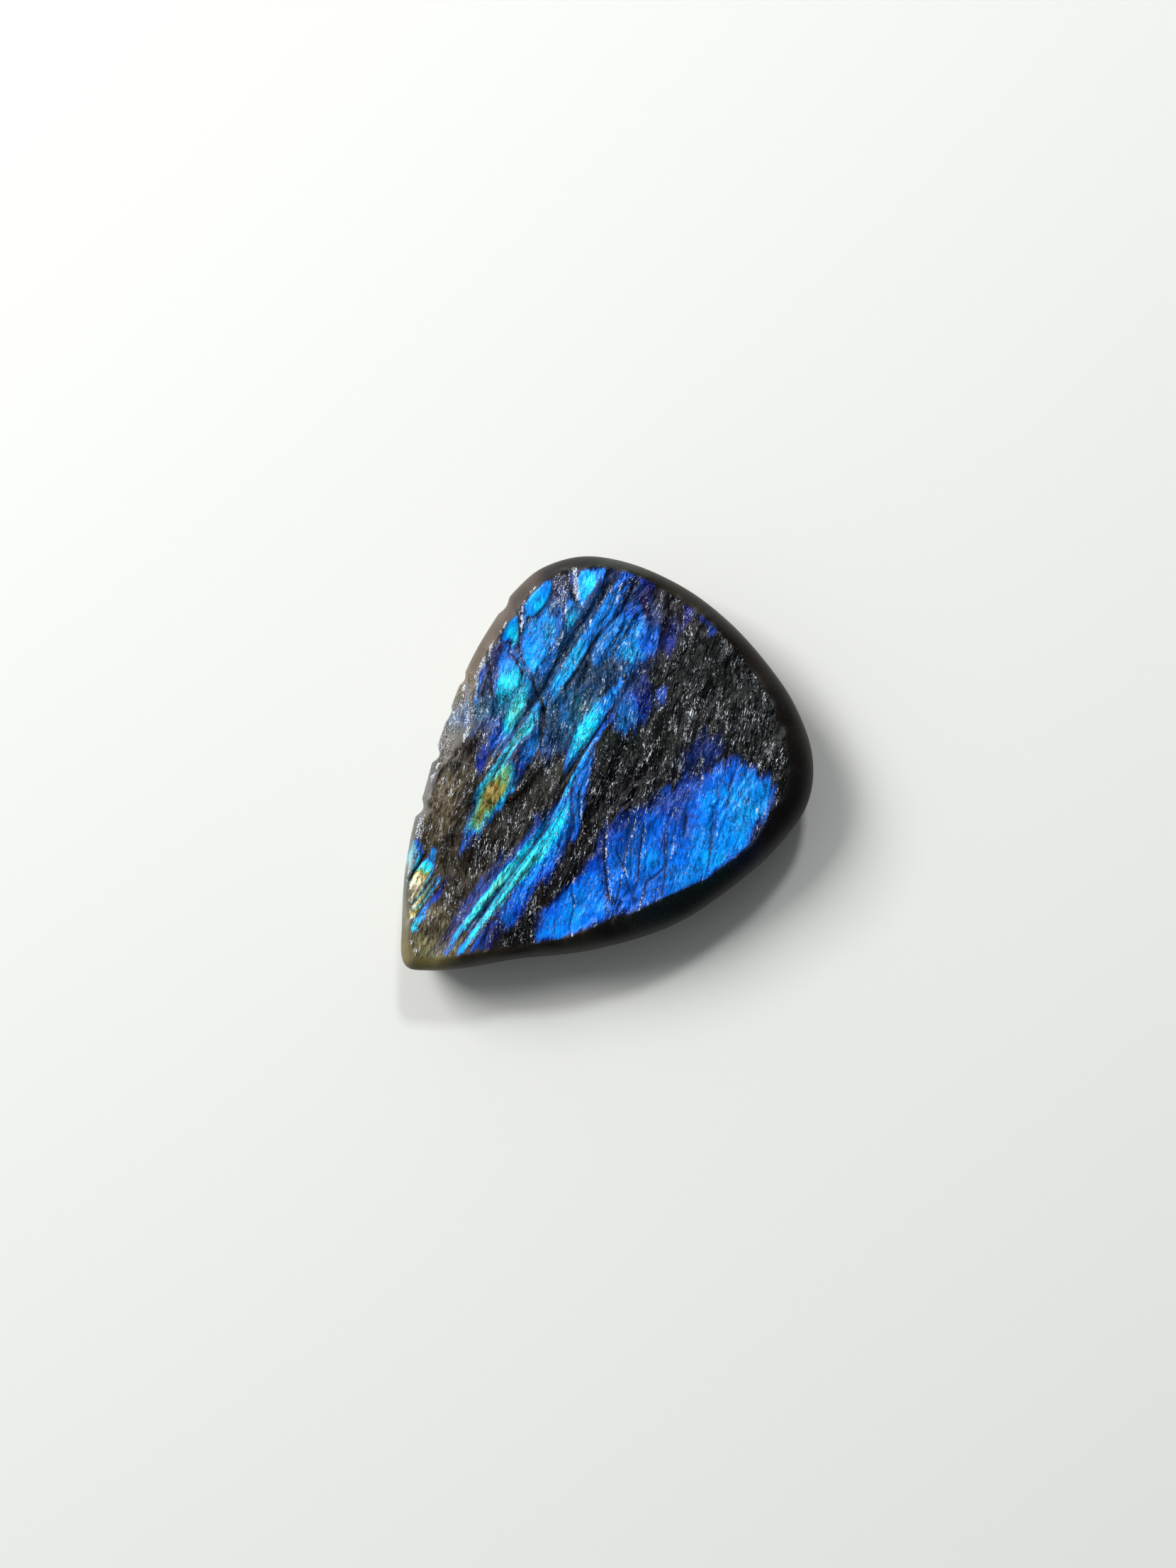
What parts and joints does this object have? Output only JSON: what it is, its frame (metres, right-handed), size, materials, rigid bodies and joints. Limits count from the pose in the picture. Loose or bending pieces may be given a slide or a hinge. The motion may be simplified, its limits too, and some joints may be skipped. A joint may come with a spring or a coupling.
{
  "type": "rough labradorite chunk",
  "caption": "Drop-shaped slab of rough labradorite with a ground dark rim, a split face of blue, cyan and gold flash, and a flat sawn back that it lies on.",
  "frame": {"origin": "on the flat back, under the middle of the stone's outline", "axes": "+Y from the point of the drop to its round end, +X to the right seen from the split face, +Z out of the split face, up as the stone lies on its back"},
  "size_m": [0.0276, 0.0354, 0.007],
  "materials": {
    "labradorite": "splintered split face with blue, cyan, green and gold flash over charcoal stone, and a satin ground rim"
  },
  "bodies": {
    "root": {"labradorite_chunk": "labradorite"}
  },
  "joints": []
}
